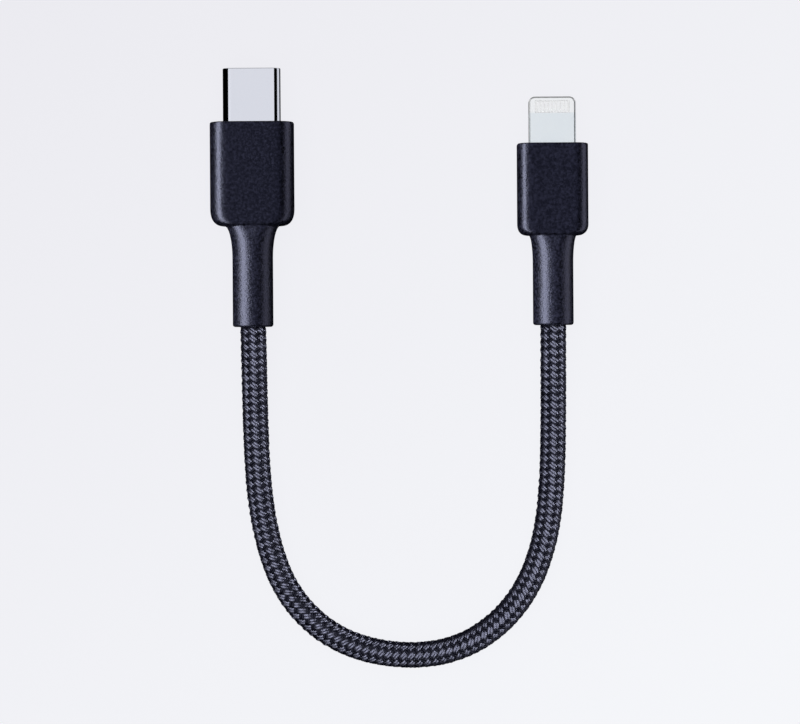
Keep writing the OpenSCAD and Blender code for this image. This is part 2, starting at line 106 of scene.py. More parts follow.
def eased(points, spread, step):
    """The polyline with its small kinks averaged out and its ends held."""
    reach = int(4 * spread / step)
    weights = np.exp(-0.5 * (np.arange(-reach, reach + 1) * step / spread) ** 2)
    weights /= weights.sum()
    before = 2 * points[0] - points[reach:0:-1]
    after = 2 * points[-1] - points[-2:-reach - 2:-1]
    longer = np.vstack([before, points, after])
    return np.column_stack([np.convolve(longer[:, axis], weights, "valid") for axis in range(3)])


first_end = neck_end("type_c_strain_relief")
second_end = neck_end("eight_pin_strain_relief")
knots = np.vstack([first_end + into_neck, first_end, route, second_end, second_end + into_neck])
line = eased(evenly_spaced(curve_through(knots), line_step), smoothing, line_step)
line = evenly_spaced(line, line_step)
travel = np.arange(len(line)) * line_step
line_length = travel[-1]
forward = np.gradient(line, axis=0)
forward /= np.linalg.norm(forward, axis=1)[:, None]
sideways = np.cross(forward, [0, 0, 1])
sideways /= np.linalg.norm(sideways, axis=1)[:, None]
upward = np.cross(sideways, forward)

# ---------------------------------------------------------------- Braided sleeve
# Sixteen flat carriers of charcoal and black polyester are braided over and under
# each other round the jacket. Each carrier is two ends of yarn laid side by side.
carriers = 8
braid_lead = 8.72 * mm
braid_radius = 1.6 * mm
weave_swing = 0.085 * mm
carrier_width = 0.82 * mm
carrier_ends = 2
points_in_end = 6
end_height = 0.135 * mm
end_fullness = 0.6
carrier_crown = 0.06 * mm
carrier_underside = (0.28 * carrier_width, -0.07 * mm)
rings_in_crossing = 7
most_tilt = 0.25
tilt_waves = ((1.7 * mm, 2.4), (0.61 * mm, 1.3))
usual_crease = 35
braid_crease = 80
hair = 1e-7


def around_cord(station, angle, radius):
    """Points at a distance along the cord, an angle from its top and a radius."""
    def at(table):
        return np.stack([np.interp(station, travel, table[:, axis]) for axis in range(3)], -1)
    turn = np.cos(angle)[..., None] * at(upward) + np.sin(angle)[..., None] * at(sideways)
    return at(line) + radius[..., None] * turn


def add_tube(bm, rings, ends):
    """Skins a row of closed rings with a grid wrapped round them; ends is capped or joined."""
    if ends == "joined":
        rings = np.concatenate([rings, rings[:1]])
    wrapped = np.concatenate([rings, rings[:, :1]], axis=1)
    rows, columns = wrapped.shape[:2]
    grid = bmesh.ops.create_grid(
        bm, x_segments=columns - 1, y_segments=rows - 1, size=1, calc_uvs=True)
    for vert, place in zip(grid["verts"], wrapped.reshape(-1, 3)):
        vert.co = place
    bmesh.ops.remove_doubles(bm, verts=grid["verts"], dist=hair)
    if ends == "capped":
        rims = [edge for edge in bm.edges if edge.is_boundary]
        bmesh.ops.holes_fill(bm, edges=rims, sides=0)


def new_mould():
    """An empty bmesh with a UV map: across in U and along in V."""
    bm = bmesh.new()
    bm.loops.layers.uv.new("lay")
    return bm


def finished_piece(name, bm, material, nodes, crease=usual_crease):
    """Turns a bmesh into a piece that stands for CAD nodes and wears a material.

    Edges that turn by more than crease, in degrees, are shaded sharp."""
    bmesh.ops.recalc_face_normals(bm, faces=bm.faces)
    mesh = bpy.data.meshes.new(name)
    bm.to_mesh(mesh)
    bm.free()
    mesh.shade_smooth()
    mesh.set_sharp_from_angle(angle=math.radians(crease))
    mesh.materials.append(material)
    piece = bpy.data.objects.new(name, mesh)
    scene.collection.objects.link(piece)
    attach(piece, "root")
    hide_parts(*nodes)
    return piece


class Wire:
    """One output of a shader node. Arithmetic on it adds Math nodes."""

    def __init__(self, finish, socket):
        self.finish = finish
        self.socket = socket

    def maths(self, operation, *values):
        return self.finish.add("Math", {"operation": operation}, dict(enumerate(values)))

    def __add__(self, other):
        return self.maths("ADD", self, other)

    def __sub__(self, other):
        return self.maths("SUBTRACT", self, other)

    def __rsub__(self, other):
        return self.maths("SUBTRACT", other, self)

    def __mul__(self, other):
        return self.maths("MULTIPLY", self, other)

    __radd__ = __add__
    __rmul__ = __mul__


class Finish:
    """A material in the making: one Principled shader and the nodes that feed it."""

    def __init__(self, name):
        self.material = bpy.data.materials.new(name)
        self.material.use_nodes = True
        self.tree = self.material.node_tree
        self.tree.nodes.clear()
        self.shader = self.tree.nodes.new("ShaderNodeBsdfPrincipled")
        output = self.tree.nodes.new("ShaderNodeOutputMaterial")
        self.tree.links.new(self.shader.outputs[0], output.inputs["Surface"])

    def feed(self, node, inputs):
        for key, value in inputs.items():
            if isinstance(value, Wire):
                self.tree.links.new(value.socket, node.inputs[key])
            else:
                node.inputs[key].default_value = value

    def add(self, kind, settings, inputs, output=0):
        node = self.tree.nodes.new("ShaderNode" + kind)
        for key, value in settings.items():
            setattr(node, key, value)
        self.feed(node, inputs)
        return Wire(self, node.outputs[output])

    def place(self):
        """Object coordinates, in metres."""
        return self.add("TexCoord", {}, {}, "Object")

    def stretched(self, vector, scale):
        """The vector with its axes scaled, so that a pattern on it draws out."""
        return self.add("Mapping", {}, {"Vector": vector, "Scale": scale})

    def noise(self, vector, scale, detail=2.0, roughness=0.5):
        """Soft noise from 0 to 1 about a middle of 0.5."""
        return self.add("TexNoise", {}, {"Vector": vector, "Scale": scale, "Detail": detail,
                                         "Roughness": roughness})

    def blend(self, factor, first, second):
        """A colour between two colours, each a wire or (red, green, blue)."""
        ends = {key: value if isinstance(value, Wire) else (*value, 1)
                for key, value in ((6, first), (7, second))}
        return self.add("Mix", {"data_type": "RGBA"}, {0: factor, **ends}, 2)

    def clamped(self, value):
        """The value kept from 0 to 1."""
        return self.add("Clamp", {}, {"Value": value})

    def relief(self, height, depth, strength=1.0):
        """A normal from a height of 0 to 1 that stands for a depth in metres."""
        return self.add("Bump", {}, {"Height": height, "Distance": depth, "Strength": strength})

    def wear(self, inputs):
        """Sets or links the shader's own sockets and returns the material."""
        self.feed(self.shader, inputs)
        return self.material


def carrier_section():
    """Across and outward places of a carrier's outline: lobes on top, flat below."""
    across = np.linspace(-0.5, 0.5, carrier_ends * points_in_end + 1)
    crown = carrier_crown * np.cos(math.pi * across)
    bulge = np.abs(np.sin(math.pi * carrier_ends * (across + 0.5)))
    top = np.column_stack([across * carrier_width, crown + end_height * bulge ** end_fullness])
    half_w, below = carrier_underside
    return np.vstack([top, (half_w, below), (-half_w, below)])


def carrier_rings(number, hand):
    """Rings of one carrier that tilts a little to and fro along its way.

    hand is 1 or -1, the way it winds and its turn to go over or under."""
    rows = int(line_length / (braid_lead / carriers) * rings_in_crossing)
    station = np.linspace(0, line_length, rows)[:, None]
    across, outward = carrier_section().T
    slope = math.atan2(2 * math.pi * braid_radius, braid_lead)
    swing = weave_swing * np.cos(2 * math.pi * carriers * station / braid_lead)
    tilt = most_tilt
    for length, offset in tilt_waves:
        tilt = tilt * np.sin(station / length + offset * number)
    radius = braid_radius - hand * swing + outward + tilt * across
    turn = 2 * math.pi * (hand * station / braid_lead + number / carriers)
    return around_cord(
        np.clip(station - across * math.sin(slope), 0, line_length),
        turn + hand * across * math.cos(slope) / braid_radius,
        radius)


def yarn_finish(name, dark, light, shine):
    """Spun polyester: fine filaments along the carrier and a heathered shade."""
    yarn = Finish(name)
    lay = yarn.add("TexCoord", {}, {}, "UV")
    place = yarn.place()
    filament = yarn.noise(yarn.stretched(lay, (34, 900, 1)), 1.0, 2.0, 0.6)
    twist = yarn.add("TexWave", {"wave_type": "BANDS", "bands_direction": "DIAGONAL"},
                     {"Vector": yarn.stretched(lay, (6, 520, 0)), "Scale": 1.0, "Distortion": 1.5})
    heather = yarn.noise(place, 1400.0, 3.0, 0.6)
    fray = yarn.noise(place, 9000.0, 2.0)
    clump = yarn.noise(place, 650.0, 2.0, 0.5)
    lift = yarn.clamped((heather - 0.5) * 2.2 + (clump - 0.5) * 1.6 + filament * 0.8)
    return yarn.wear({
        "Base Color": yarn.blend(lift, dark, light),
        "Roughness": 0.17 + fray * 0.3,
        "Specular IOR Level": shine,
        "Specular Tint": (0.7, 0.73, 1.0, 1.0),
        "Normal": yarn.relief(filament * 0.6 + twist * 0.25 + fray * 0.15, 0.035 * mm, 0.9),
    })


light_yarn = yarn_finish("light_yarn", (0.001, 0.001, 0.003), (0.014, 0.014, 0.021), 1.0)
dark_yarn = yarn_finish("dark_yarn", (0.0005, 0.0005, 0.0015), (0.0025, 0.0025, 0.005), 0.08)
braids = []
for name, hand, yarn in (("light_carriers", -1, light_yarn), ("dark_carriers", 1, dark_yarn)):
    bm = new_mould()
    for number in range(carriers):
        add_tube(bm, carrier_rings(number, hand), "capped")
    braid = finished_piece(name, bm, yarn, ["braided_sleeve"], crease=braid_crease)
    braids.append(braid)

# ---------------------------------------------------------------- Housings
# Each housing is a one-piece moulding of satin black plastic over the plug's inner
# mould: flat on top and underneath, round at the sides, with soft rear shoulders.
corner_angles = np.radians(np.linspace(0, 90, 11))
edge_angles = np.radians(np.linspace(0, 90, 8))
shoulder_angles = np.radians(np.linspace(0, 90, 15))
straight_steps = np.array([0.02, 0.12, 0.3, 0.5, 0.7, 0.88, 0.98])
shoulder_power = 2.5
housing_front_r = 0.25 * mm
side_start = 0.6 * mm
rear_wall = 1.4 * mm
mould_front = 0.5 * mm
mould_r = 1.4 * mm
stem_hole_r = 2.27 * mm
opening_chamfer = 0.1 * mm


def section_ring(half_w, half_h, corner_r, depth):
    """A rounded rectangle across a plug, at a depth behind the housing's front face."""
    corners = []
    for quarter, (right, upper) in enumerate(((1, 1), (-1, 1), (-1, -1), (1, -1))):
        angle = corner_angles + quarter * math.pi / 2
        across = right * (half_w - corner_r) + corner_r * np.cos(angle)
        height = upper * (half_h - corner_r) + corner_r * np.sin(angle)
        corners.append(np.column_stack([across, height]))
    loop = []
    for corner, following in zip(corners, corners[1:] + corners[:1]):
        straight = corner[-1] + straight_steps[:, None] * (following[0] - corner[-1])
        loop += [corner, straight]
    outline = np.vstack(loop)
    return np.column_stack([outline[:, 0], np.full(len(outline), -depth), outline[:, 1]])


def plug_place(node):
    """Middle of a housing's front face, and its width, height and length."""
    low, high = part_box(node)
    size = high - low
    front = np.array([(low.x + high.x) / 2, high.y, (low.z + high.z) / 2])
    return front, size.x, size.z, size.y


def eased_drop(depth, start, reach, drop):
    """How far a superellipse shoulder has dropped at a depth."""
    part = np.clip((depth - start) / reach, 0, 1)
    return drop * (1 - (1 - part ** shoulder_power) ** (1 / shoulder_power))


def housing_rings(size, corner_r, rear_r, shoulder, roll, opening, cavity):
    """Outside from the front opening to the rear, then inside back to the opening.

    The sides drop in by shoulder and the top by roll, each a drop and its reach."""
    width, height, length = size
    opening_w, opening_h, opening_r = opening
    rings = [section_ring(opening_w, opening_h, opening_r, opening_chamfer),
             section_ring(opening_w + opening_chamfer, opening_h + opening_chamfer,
                          opening_r + opening_chamfer, 0)]
    for angle in edge_angles:
        inset = housing_front_r * (1 - math.sin(angle))
        depth = housing_front_r * (1 - math.cos(angle))
        rings.append(section_ring(width / 2 - inset, height / 2 - inset, corner_r - inset, depth))
    turns = [length - reach + reach * np.sin(shoulder_angles) ** (2 / shoulder_power)
             for reach in (shoulder[1], roll[1])]
    sides = np.linspace(side_start, length - shoulder[1], 8)
    depths = np.unique(np.concatenate([sides, *turns]))
    for depth in depths:
        across = eased_drop(depth, length - shoulder[1], shoulder[1], shoulder[0])
        down = eased_drop(depth, length - roll[1], roll[1], roll[0])
        blend = across / shoulder[0]
        radius = corner_r + (rear_r - corner_r) * blend
        rings.append(section_ring(width / 2 - across, height / 2 - down, radius, depth))
    cavity_w, cavity_h = cavity
    rings += [section_ring(stem_hole_r, stem_hole_r, stem_hole_r, length),
              section_ring(stem_hole_r, stem_hole_r, stem_hole_r, length - rear_wall),
              section_ring(cavity_w, cavity_h, mould_r, length - rear_wall),
              section_ring(cavity_w, cavity_h, mould_r, mould_front),
              section_ring(opening_w, opening_h, opening_r, mould_front)]
    return np.array(rings)


def satin_finish(name, base, tint, roughness, grain_depth):
    """Spark-eroded moulded plastic: a fine grain, a mottled shade and faint flow marks."""
    plastic = Finish(name)
    place = plastic.place()
    grain = plastic.noise(place, 3400.0, 2.0, 0.6)
    flow = plastic.noise(plastic.stretched(place, (60, 18, 60)), 1.0, 3.0)
    mottle = plastic.noise(place, 2600.0, 3.0, 0.7)
    shade = plastic.clamped((mottle - 0.5) * 5 + flow * 0.6)
    return plastic.wear({
        "Base Color": plastic.blend(shade, base, tint),
        "Roughness": roughness + (mottle - 0.5) * 0.3 + (grain - 0.5) * 0.1,
        "Specular IOR Level": 1.0,
        "Specular Tint": (0.62, 0.65, 1.0, 1.0),
        "Normal": plastic.relief(grain, grain_depth, 0.8),
    })


deep_black = (0.0003, 0.0003, 0.002)
soft_blue_black = (0.019, 0.0198, 0.04)
housing_finish = satin_finish("satin_black", deep_black, soft_blue_black, 0.32, 0.06 * mm)
type_c_front, *type_c_size = plug_place("type_c_housing")
tab_front, *tab_housing_size = plug_place("eight_pin_housing")
housing_forms = {
    "type_c_housing": (type_c_front, type_c_size, {
        "corner_r": 2.6, "rear_r": 2.6, "shoulder": (2, 2.6), "roll": (0.45, 0.9),
        "opening": (4.145, 1.22, 1.219), "cavity": (5.1, 2.3)}),
    "eight_pin_housing": (tab_front, tab_housing_size, {
        "corner_r": 2, "rear_r": 2.3, "shoulder": (1.6, 1.75), "roll": (0.4, 0.8),
        "opening": (3.37, 0.77, 0.3), "cavity": (4.15, 2.2)}),
}
housing_skins = []
for node, (front, size, form) in housing_forms.items():
    rings = housing_rings(size, **{part: np.multiply(value, mm) for part, value in form.items()})
    bm = new_mould()
    add_tube(bm, rings + front, "joined")
    housing_skins.append(finished_piece(node + "_skin", bm, housing_finish, [node]))

# ---------------------------------------------------------------- Strain reliefs
# Softer black plastic moulded over the cord: a flare that meets the housing's rear
# face, a straight neck, and a stem and flange that hold it inside the housing.
neck_r = 2.9 * mm
neck_start = 0.5 * mm
neck_end_r = 0.35 * mm
neck_end_angles = np.radians(np.linspace(15, 90, 6))
flare_steps = np.linspace(0, 1, 19) ** 1.6
bore_r = 1.87 * mm
bore_chamfer = 0.12 * mm
stem_r = 2.25 * mm
flange_len = 0.8 * mm
flange_corner_r = 0.8 * mm
ring_pocket_r = 2.17 * mm
ring_pocket_start = 0.3 * mm
ring_pocket_end = 3.2 * mm


def round_ring(radius, depth):
    """A circle across a plug."""
    return section_ring(radius, radius, radius, depth)


def strain_relief_rings(length, neck_back, flare_start, flare_r, flare_len, flange):
    """Outside from the flange to the neck's end, then back along the bore.

    length is the housing's, and neck_back is how far behind its front the neck ends."""
    flange_w, flange_h = flange
    inner = length - rear_wall
    rings = [round_ring(bore_r, inner - flange_len),
             section_ring(flange_w, flange_h, flange_corner_r, inner - flange_len),
             section_ring(flange_w, flange_h, flange_corner_r, inner),
             round_ring(stem_r, inner),
             round_ring(stem_r, length)]
    start_w, start_h = flare_start
    for step in flare_steps:
        fall = 1 - math.sqrt(1 - (1 - step) ** 2)
        rise = (1 - step) ** 3
        half_w = neck_r + (start_w - neck_r) * fall
        half_h = neck_r - (neck_r - start_h) * rise
        radius = min(neck_r + (flare_r - neck_r) * fall, half_h)
        rings.append(section_ring(half_w, half_h, radius, length + step * flare_len))
    for depth in np.linspace(length + flare_len + neck_start, neck_back - neck_end_r, 6):
        rings.append(round_ring(neck_r, depth))
    for angle in neck_end_angles:
        rings.append(round_ring(neck_r - neck_end_r * (1 - math.cos(angle)),
                                neck_back - neck_end_r * (1 - math.sin(angle))))
    rings += [round_ring(bore_r + bore_chamfer, neck_back),
              round_ring(bore_r, neck_back - bore_chamfer),
              round_ring(bore_r, length + ring_pocket_end),
              round_ring(ring_pocket_r, length + ring_pocket_end),
              round_ring(ring_pocket_r, length + ring_pocket_start),
              round_ring(bore_r, length + ring_pocket_start)]
    return np.array(rings)


relief_finish = satin_finish("soft_black", deep_black, soft_blue_black, 0.36, 0.075 * mm)
strain_relief_forms = {
    "type_c_strain_relief": (type_c_front, type_c_size[2], {
        "flare_start": (4, 2.65), "flare_r": 2.6, "flare_len": 4.6, "flange": (4.3, 2.28)}),
    "eight_pin_strain_relief": (tab_front, tab_housing_size[2], {
        "flare_start": (3.45, 2.6), "flare_r": 2.3, "flare_len": 4, "flange": (3.35, 2.18)}),
}
strain_relief_skins = []
for node, (front, length, form) in strain_relief_forms.items():
    neck_back = front[1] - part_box(node)[0].y
    rings = strain_relief_rings(
        length, neck_back, **{part: np.multiply(value, mm) for part, value in form.items()})
    bm = new_mould()
    add_tube(bm, rings + front, "joined")
    strain_relief_skins.append(
        finished_piece(node + "_skin", bm, relief_finish, [node]))

# ---------------------------------------------------------------- Type-C mouth
# A seamless deep-drawn steel mouth, bright polished, with a rolled lip. It runs
# back into the housing over the contact block.
mouth_wall = 0.2 * mm
lip_len = 0.4 * mm
least_flat = 0.001 * mm
rub_ragged = 0.2 * mm
rub_fade = (-0.2 * mm, 0.15 * mm)


def metal_finish(name, colour, stain, roughness, streaks, scratch, rubbed_from=None, rubbed=None):
    """Bright metal: fine drawn streaks, a soft stain and a few hairline scratches.

    From rubbed_from forwards, the part that goes into a socket, it is rubbed brighter."""
    metal = Finish(name)
    place = metal.place()
    streak = metal.noise(metal.stretched(place, streaks), 1.0, 3.0, 0.6)
    cloud = metal.noise(place, 160.0, 3.0, 0.6)
    hairline = metal.add("TexVoronoi", {"feature": "DISTANCE_TO_EDGE"},
                         {"Vector": metal.stretched(place, (900, 260, 900)), "Scale": 1.0})
    mark = metal.add("MapRange", {"clamp": True}, {"Value": hairline, "From Max": 0.02,
                                                 "To Min": 1.0, "To Max": 0.0})
    shade = metal.blend(cloud, colour, stain)
    if rubbed:
        along = metal.add("SeparateXYZ", {}, {"Vector": place}, "Y")
        front = metal.add("MapRange", {"interpolation_type": "SMOOTHSTEP"}, {
            "Value": along + (cloud - 0.5) * rub_ragged,
            "From Min": rubbed_from + rub_fade[0],
            "From Max": rubbed_from + rub_fade[1]})
        shade = metal.blend(front, shade, rubbed)
    return metal.wear({
        "Base Color": shade,
        "Metallic": 1.0,
        "Roughness": roughness + streak * roughness * 0.6 + mark * scratch,
        "Normal": metal.relief(streak, 0.001 * mm, 0.12),
    })


mirror_steel = metal_finish("polished_steel", (0.79, 0.8, 0.87), (0.77, 0.785, 0.86), 0.05,
                            (2200, 300, 2200), 0.03)
shell_low, shell_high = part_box("type_c_shell")
shell_w = (shell_high.x - shell_low.x) / 2
shell_h = (shell_high.z - shell_low.z) / 2
shell_tip = shell_high.y - type_c_front[1]
shell_back = shell_low.y - type_c_front[1]


def mouth_ring(inset, depth):
    """The mouth's outline, with flat top and bottom and half-round sides, drawn in by an inset."""
    half_h = shell_h - inset
    return section_ring(shell_w - inset, half_h, half_h - least_flat, depth)


inner_depths = np.linspace(-shell_tip + lip_len, -shell_back, 6)
outer_depths = np.linspace(-shell_back, -shell_tip + lip_len, 6)
rings = []
for angle in np.radians(np.linspace(0, 180, 9)):
    inset = mouth_wall / 2 * (1 - math.cos(angle))
    depth = -shell_tip + mouth_wall / 2 * (1 - math.sin(angle))
    rings.append(mouth_ring(inset, depth))
rings += [mouth_ring(mouth_wall, depth) for depth in inner_depths]
rings += [mouth_ring(0, depth) for depth in outer_depths]
bm = new_mould()
add_tube(bm, np.array(rings) + type_c_front, "joined")
mouth = finished_piece("type_c_mouth", bm, mirror_steel, ["type_c_shell"])

# ---------------------------------------------------------------- Eight-contact tab
# A one-piece nickel-plated tab, satin finished, with round tip corners and edges.
# It is open where the contacts show, hollow behind them, and notched at both sides.
tab_low, tab_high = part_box("eight_pin_tab")
tab_size = tab_high - tab_low
tab_middle = (tab_low + tab_high) / 2
tab_corner_r = 0.9 * mm
tab_edge_r = 0.3 * mm
window_w = 4.9 * mm
window_front = tab_high.y - 0.6 * mm
window_back = window_front - 1.7 * mm
channel_h = 0.9 * mm
notch_y = tab_high.y - 3.2 * mm
notch_r = 0.8 * mm
notch_h = 0.7 * mm
notch_centre_out = 0.45 * mm


def slice_at(bm, axis, value):
    """Cuts new edges all round a mesh where a plane crosses it."""
    bmesh.ops.bisect_plane(bm, geom=bm.verts[:] + bm.edges[:] + bm.faces[:], dist=1e-8,
                           plane_co=[value if i == axis else 0 for i in range(3)],
                           plane_no=[1 if i == axis else 0 for i in range(3)])


def open_through(bm, is_lid):
    """Takes away the faces that a hole passes through and walls the hole."""
    lids = [face for face in bm.faces if is_lid(face.calc_center_median(), face.normal)]
    bmesh.ops.delete(bm, geom=lids, context="FACES")
    rims = [edge for edge in bm.edges if edge.is_boundary]
    bmesh.ops.bridge_loops(bm, edges=rims)
    bm.normal_update()


bm = new_mould()
bmesh.ops.create_cube(bm, size=1)
bmesh.ops.scale(bm, vec=tab_size, verts=bm.verts)
bmesh.ops.translate(bm, vec=tab_middle, verts=bm.verts)
tip_edges = [edge for edge in bm.edges
             if all(abs(vert.co.y - tab_high.y) < hair for vert in edge.verts)
             and abs(edge.verts[0].co.z - edge.verts[1].co.z) > hair]
bmesh.ops.bevel(bm, geom=tip_edges, offset=tab_corner_r, segments=8, profile=0.5, affect="EDGES",
                material=-1)
long_edges = [edge for edge in bm.edges
              if abs(edge.verts[0].co.z - edge.verts[1].co.z) < hair
              and any(vert.co.y > tab_low.y + hair for vert in edge.verts)]
bmesh.ops.bevel(bm, geom=long_edges, offset=tab_edge_r, segments=6, profile=0.5, affect="EDGES",
                material=-1)
for axis, value in ((0, tab_middle.x - window_w / 2), (0, tab_middle.x + window_w / 2),
                    (1, window_front), (1, window_back)):
    slice_at(bm, axis, value)
bm.normal_update()
open_through(bm, lambda middle, normal: abs(normal.z) > 0.9
             and window_back < middle.y < window_front
             and abs(middle.x - tab_middle.x) < window_w / 2)
for side in (-1, 1):
    slice_at(bm, 2, tab_middle.z + side * channel_h / 2)
bm.normal_update()
open_through(bm, lambda middle, normal: abs(normal.y) > 0.9
             and middle.y < window_back + 10 * hair
             and abs(middle.x - tab_middle.x) < window_w / 2
             and abs(middle.z - tab_middle.z) < channel_h / 2)
tab_finish = metal_finish("satin_nickel", (0.86, 0.9, 0.925), (0.8, 0.85, 0.9), 0.16,
                          (2600, 240, 2600), 0.03, rubbed_from=window_back, rubbed=(0.96, 0.965, 0.975))
tab = finished_piece("eight_pin_tab_body", bm, tab_finish, ["eight_pin_tab"])
bm = bmesh.new()
for side in (-1, 1):
    notch_x = tab_middle.x + side * (tab_size.x / 2 + notch_centre_out)
    bmesh.ops.create_cone(bm, cap_ends=True, segments=48, radius1=notch_r, radius2=notch_r,
                          depth=notch_h, matrix=Matrix.Translation((notch_x, notch_y, tab_middle.z)))
cutter_mesh = bpy.data.meshes.new("notch_cutter")
bm.to_mesh(cutter_mesh)
bm.free()
cutter = bpy.data.objects.new("notch_cutter", cutter_mesh)
scene.collection.objects.link(cutter)
cut = tab.modifiers.new("side_notches", "BOOLEAN")
cut.object = cutter
cut.operation = "DIFFERENCE"
cut.solver = "EXACT"
bpy.context.view_layer.update()
notched = bpy.data.meshes.new_from_object(tab.evaluated_get(bpy.context.evaluated_depsgraph_get()))
tab.modifiers.clear()
tab.data = notched
bpy.data.objects.remove(cutter)
notched.set_sharp_from_angle(angle=math.radians(usual_crease))
shaded = tab.modifiers.new("even_shading", "WEIGHTED_NORMAL")
shaded.keep_sharp = True

# ---------------------------------------------------------------- Inner pieces
# Contacts, boards, cans, moulds, wires and yarn keep their made shapes. Each gets
# the finish of what it is stamped, drawn, cast or spun from.


def dress(material, *nodes):
    """Puts a material on CAD nodes."""
    for node in nodes:
        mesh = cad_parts[node].data
        mesh.materials.clear()
        mesh.materials.append(material)


def speckled_finish(name, base, fleck, roughness, speck_scale, grain_depth, metallic=0.0):
    """A cast, printed or drawn surface with flecks of a second colour and a grain."""
    stuff = Finish(name)
    place = stuff.place()
    speck = stuff.noise(place, speck_scale, 3.0, 0.6)
    grain = stuff.noise(place, speck_scale * 6, 2.0)
    return stuff.wear({
        "Base Color": stuff.blend(speck, base, fleck),
        "Metallic": metallic,
        "Roughness": roughness + (speck - 0.5) * 0.2,
        "Normal": stuff.relief(grain, grain_depth, 0.4),
    })


gold = metal_finish("gold_flash", (0.93, 0.72, 0.34), (0.86, 0.62, 0.26), 0.16,
                    (1800, 400, 1800), 0.05)
tin = metal_finish("tinned_plate", (0.72, 0.73, 0.74), (0.62, 0.63, 0.65), 0.28,
                   (900, 500, 900), 0.08)
sprung = metal_finish("spring_steel", (0.7, 0.71, 0.73), (0.62, 0.63, 0.66), 0.2,
                      (2200, 300, 2200), 0.06)
pale_contact = metal_finish("pale_plating", (0.98, 0.98, 0.985), (0.95, 0.955, 0.965), 0.2,
                            (1800, 300, 1800), 0.04)
dress(gold, "type_c_upper_contacts", "type_c_lower_contacts")
dress(pale_contact, "eight_pin_upper_contacts", "eight_pin_lower_contacts")
dress(sprung, "type_c_latch_plate", "type_c_ground_springs")
dress(tin, "type_c_upper_can", "type_c_lower_can", "eight_pin_upper_can", "eight_pin_lower_can",
      "type_c_crimp_ring", "eight_pin_crimp_ring")
# Name, main colour, fleck colour, roughness, fleck scale, grain depth in mm, metallic, nodes.
cast_pieces = (
    ("contact_block", (0.012, 0.012, 0.014), (0.022, 0.022, 0.026), 0.45, 900, 0.004, 0,
     ["type_c_insulator"]),
    ("pale_carrier", (0.80, 0.80, 0.80), (0.86, 0.86, 0.865), 0.5, 900, 0.004, 0, ["eight_pin_carrier"]),
    ("board_mask", (0.01, 0.09, 0.035), (0.02, 0.13, 0.05), 0.35, 1500, 0.004, 0,
     ["type_c_circuit_board", "eight_pin_circuit_board"]),
    ("chip_body", (0.02, 0.02, 0.022), (0.035, 0.035, 0.038), 0.55, 2500, 0.005, 0,
     ["eight_pin_controller_chip", "type_c_board_parts", "eight_pin_board_parts"]),
    ("solder_joint", (0.62, 0.63, 0.65), (0.75, 0.76, 0.78), 0.3, 1200, 0.01, 1,
     ["type_c_wire_joints", "eight_pin_wire_joints"]),
    ("moulding_wax", (0.62, 0.58, 0.48), (0.72, 0.69, 0.6), 0.55, 500, 0.01, 0,
     ["type_c_inner_mould", "eight_pin_inner_mould"]),
    ("jacket_black", (0.006, 0.006, 0.008), (0.014, 0.014, 0.017), 0.6, 1500, 0.01, 0, ["cord_jacket"]),
    ("copper_braid", (0.72, 0.36, 0.2), (0.85, 0.5, 0.32), 0.35, 3500, 0.02, 1, ["shield_braid"]),
    ("red_wire", (0.5, 0.02, 0.015), (0.62, 0.04, 0.03), 0.4, 800, 0.004, 0, ["power_wire"]),
    ("black_wire", (0.015, 0.015, 0.016), (0.03, 0.03, 0.032), 0.4, 800, 0.004, 0, ["ground_wire"]),
    ("green_wire", (0.02, 0.25, 0.06), (0.04, 0.34, 0.09), 0.4, 800, 0.004, 0, ["data_plus_wire"]),
    ("white_wire", (0.7, 0.7, 0.68), (0.8, 0.8, 0.79), 0.4, 800, 0.004, 0, ["data_minus_wire"]),
    ("yellow_wire", (0.7, 0.5, 0.04), (0.8, 0.6, 0.08), 0.4, 800, 0.004, 0, ["control_wire"]),
    ("spun_yarn", (0.62, 0.52, 0.3), (0.75, 0.66, 0.42), 0.7, 4000, 0.02, 0, ["strength_yarn"]),
)
for name, base, fleck, roughness, speck_scale, depth, metallic, nodes in cast_pieces:
    dress(speckled_finish(name, base, fleck, roughness, speck_scale, depth * mm, metallic), *nodes)

# ---------------------------------------------------------------- Floor
# A wide pale paper sweep that curves up all round. It glows by itself, with painted light
# that makes it a little brighter to the right and nearby, and doesn't mirror in the object or shade it.
floor_r = 1.2
sweep_r = 0.5
wall_top = 2.5
floor_steps = 64
# Painted light: how much brighter the floor's glow is painted at the middle, to the right and nearby.
painted_light_at_middle = 0.42
painted_light_rightwards = 3.6
painted_light_nearwards = 5.2
bm = bmesh.new()
profile = [(0, 0), (0.2, 0), (0.5, 0), (floor_r, 0)]
for angle in np.radians([22, 45, 68, 90]):
    profile.append((floor_r + sweep_r * math.sin(angle), sweep_r * (1 - math.cos(angle))))
profile.append((floor_r + sweep_r, wall_top))
verts = [bm.verts.new((radius, 0, height)) for radius, height in profile]
edges = [bm.edges.new(pair) for pair in zip(verts, verts[1:])]
bmesh.ops.spin(bm, geom=verts + edges, cent=(0, 0, 0), axis=(0, 0, 1), angle=2 * math.pi,
               steps=floor_steps, use_merge=True, use_duplicate=False)
bmesh.ops.remove_doubles(bm, verts=bm.verts, dist=1e-6)
floor_mesh = bpy.data.meshes.new("floor")
bm.to_mesh(floor_mesh)
bm.free()
floor_mesh.shade_smooth()
floor = bpy.data.objects.new("floor", floor_mesh)
scene.collection.objects.link(floor)
paper = Finish("pale_paper")
place = paper.place()
across = paper.add("SeparateXYZ", {}, {"Vector": place}, "X")
along = paper.add("SeparateXYZ", {}, {"Vector": place}, "Y")
# Painted light: the floor's glow is blended brighter to the right and nearby, as a painted light
# falloff.
painted_light_falloff = paper.clamped(painted_light_at_middle + across * painted_light_rightwards - along * painted_light_nearwards)
